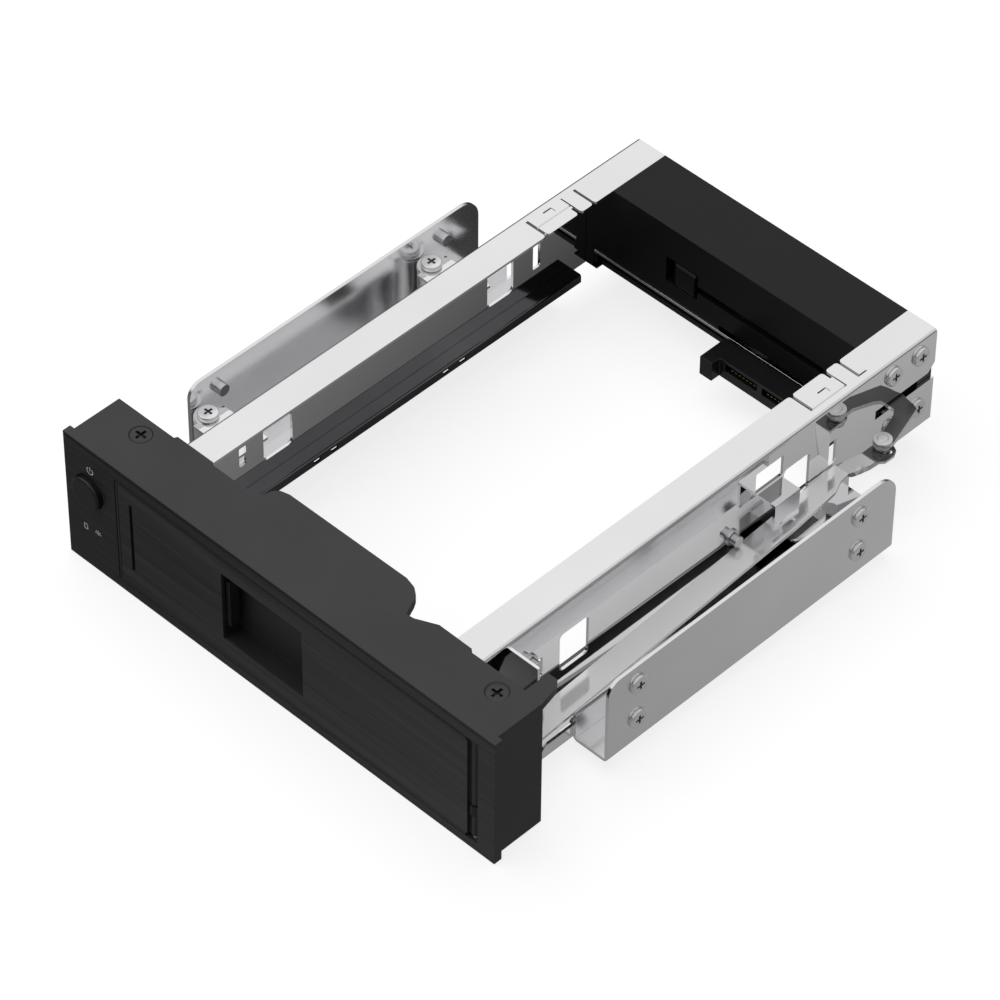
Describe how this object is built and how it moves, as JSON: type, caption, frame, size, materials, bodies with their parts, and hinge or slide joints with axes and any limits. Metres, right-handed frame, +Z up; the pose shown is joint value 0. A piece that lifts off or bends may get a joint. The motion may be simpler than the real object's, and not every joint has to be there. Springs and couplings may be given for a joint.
{
  "type": "hot swap drive cage",
  "caption": "Tool-free hot swap cage that holds one 3.5 inch drive in a 5.25 inch bay, with a hinged front door, side rails and an eject linkage.",
  "frame": {"origin": "middle of the part's footprint, at the height of the underside of the faceplate", "axes": "-Y faces the user (door and power button), +X is to the right as the user sees it, +Z is up"},
  "size_m": [0.1484, 0.1826, 0.0415],
  "materials": {
    "black_plastic": "fine moulded texture",
    "door_plastic": "fine moulded texture",
    "brushed_black": "black, brushed along its length",
    "button_plastic": "semi-gloss",
    "plated_steel": "bright plating on sheet steel",
    "satin_steel": "satin plated sheet steel",
    "bright_screw": "bright plated steel",
    "black_screw": "black coated steel",
    "cover_plastic": "smooth black moulding",
    "lever_steel": "plated sheet steel",
    "board_green": "solder mask",
    "connector_plastic": "moulded connector body",
    "clear_plastic": "clear moulding"
  },
  "bodies": {
    "cage": {"bezel": "black_plastic", "hinge_pin": "bright_screw", "front_board": "board_green", "power_switch": "connector_plastic", "light_guides": "clear_plastic", "board_screws": "bright_screw", "bezel_screws": "black_screw", "right_rail": "plated_steel", "left_rail": "plated_steel", "right_runner": "plated_steel", "left_runner": "plated_steel", "web_studs": "bright_screw", "shelf_stud": "bright_screw", "rear_cover": "cover_plastic", "cross_plate": "satin_steel", "pivot_pin": "bright_screw", "rear_card": "board_green", "sata_connector": "connector_plastic", "rear_sockets": "connector_plastic", "right_bracket": "satin_steel", "left_bracket": "satin_steel", "left_posts": "bright_screw", "post_screws": "bright_screw", "bay_screws": "bright_screw", "rear_screws": "bright_screw"},
    "door": {"door_panel": "door_plastic", "door_skin": "brushed_black", "door_cam": "cover_plastic"},
    "catch": {"door_catch": "door_plastic"},
    "button": {"power_button": "button_plastic"},
    "link": {"link_bar": "plated_steel"},
    "lever": {"eject_lever": "lever_steel", "link_rivet": "bright_screw"},
    "ejector": {"ejector": "cover_plastic"}
  },
  "joints": [
    {"name": "door_hinge", "type": "hinge", "parent": "cage", "child": "door", "pos_m": [0.0666, -0.08772, 0.02], "axis": [0, 0, 1], "range_deg": [0, 90]},
    {"name": "catch_slide", "type": "slide", "parent": "door", "child": "catch", "axis": [1, 0, 0], "range_m": [0, 0.0022], "stiffness_N_per_m": 300},
    {"name": "button_press", "type": "slide", "parent": "cage", "child": "button", "axis": [0, 1, 0], "range_m": [0, 0.0012], "stiffness_N_per_m": 800},
    {"name": "link_slide", "type": "slide", "parent": "cage", "child": "link", "axis": [0, 1, 0], "range_m": [0, 0.00301]},
    {"name": "lever_swing", "type": "hinge", "parent": "cage", "child": "lever", "pos_m": [0.033, 0.08048, 0.0238], "axis": [0, 0, 1], "range_deg": [0, 6.3]},
    {"name": "ejector_push", "type": "slide", "parent": "cage", "child": "ejector", "axis": [0, -1, 0], "range_m": [0, 0.00531]}
  ],
  "couplings": [
    {"joint": "link_slide", "follows": "door_hinge", "m_per_rad": 0.0019099},
    {"joint": "lever_swing", "follows": "door_hinge", "ratio": 0.069856},
    {"joint": "ejector_push", "follows": "door_hinge", "m_per_rad": 0.0033741}
  ]
}
